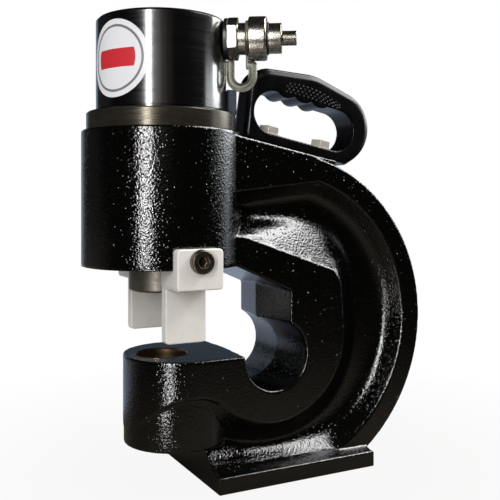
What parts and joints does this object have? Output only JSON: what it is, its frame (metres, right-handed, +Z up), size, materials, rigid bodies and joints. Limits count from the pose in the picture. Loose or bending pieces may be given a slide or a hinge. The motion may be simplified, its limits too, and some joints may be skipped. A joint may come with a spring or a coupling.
{
  "type": "hydraulic hole punch",
  "caption": "Hydraulic hole punch head: a cast C-frame with a throat, die seat and foot, a spring-returned ram in an upper cylinder, stripper brackets, a carrying handle and an oil coupler.",
  "frame": {"origin": "middle of the foot's underside, on the floor", "axes": "+Z up along the ram's axis, -X toward the nose and the ram, Y across the frame with the oil coupler toward -Y"},
  "size_m": [0.2889, 0.1516, 0.3697],
  "materials": {
    "frame_enamel": "gloss black enamel over a rough casting",
    "black_steel": "turned steel, blackened",
    "label_film": "bare white label film",
    "keeper_steel": "ground steel",
    "screw_steel": "steel screws with a worn black finish",
    "ram_steel": "ground tool steel",
    "seal_rubber": "moulded polyurethane, dark",
    "bearing_bronze": "turned bearing bronze",
    "spring_steel": "oil-tempered spring wire",
    "stripper_nickel": "bead-blasted, nickel-plated steel",
    "handle_plastic": "black moulded polymer with a nubbed grip",
    "bolt_zinc": "zinc-plated steel",
    "seal_washer": "zinc-plated steel sealing washer with a bonded rubber lip",
    "strap_rubber": "moulded black rubber strap of the dust cap",
    "coupler_nickel": "nickel-plated steel"
  },
  "bodies": {
    "frame": {"c_frame": "frame_enamel", "cylinder_body": "black_steel", "lock_ring": "black_steel", "ring_key": "keeper_steel", "key_screw": "screw_steel", "gland_bush": "bearing_bronze", "rod_wiper": "seal_rubber", "stop_tube": "ram_steel", "return_spring": "spring_steel", "die_set_screw": "screw_steel", "stripper_near": "stripper_nickel", "stripper_far": "stripper_nickel", "stripper_screws": "screw_steel", "handle_grip": "handle_plastic", "handle_bolts": "bolt_zinc", "handle_washers": "bolt_zinc", "coupler_seal": "seal_washer", "coupler_adapter": "coupler_nickel", "coupler_body": "coupler_nickel", "sleeve_clip": "spring_steel", "cap_strap": "strap_rubber", "poppet_spring": "spring_steel"},
    "ram_unit": {"ram": "ram_steel", "piston": "ram_steel", "piston_seal": "seal_rubber", "piston_guide": "bearing_bronze", "punch_set_screw": "screw_steel"},
    "sleeve": {"coupler_sleeve": "coupler_nickel"},
    "poppet": {"coupler_poppet": "coupler_nickel"}
  },
  "joints": [
    {"name": "ram_slide", "type": "slide", "parent": "frame", "child": "ram_unit", "axis": [0, 0, -1], "range_m": [0, 0.025], "stiffness_N_per_m": 5000, "springref_m": -0.02, "deforming": ["return_spring"]},
    {"name": "sleeve_turn", "type": "hinge", "parent": "frame", "child": "sleeve", "pos_m": [-0.03035, -0.04133, 0.3522], "axis": [0.848, -0.5299, 0], "continuous": true},
    {"name": "poppet_slide", "type": "slide", "parent": "frame", "child": "poppet", "axis": [-0.848, 0.5299, 0], "range_m": [0, 0.003], "stiffness_N_per_m": 800, "springref_m": -0.004, "deforming": ["poppet_spring"]}
  ]
}
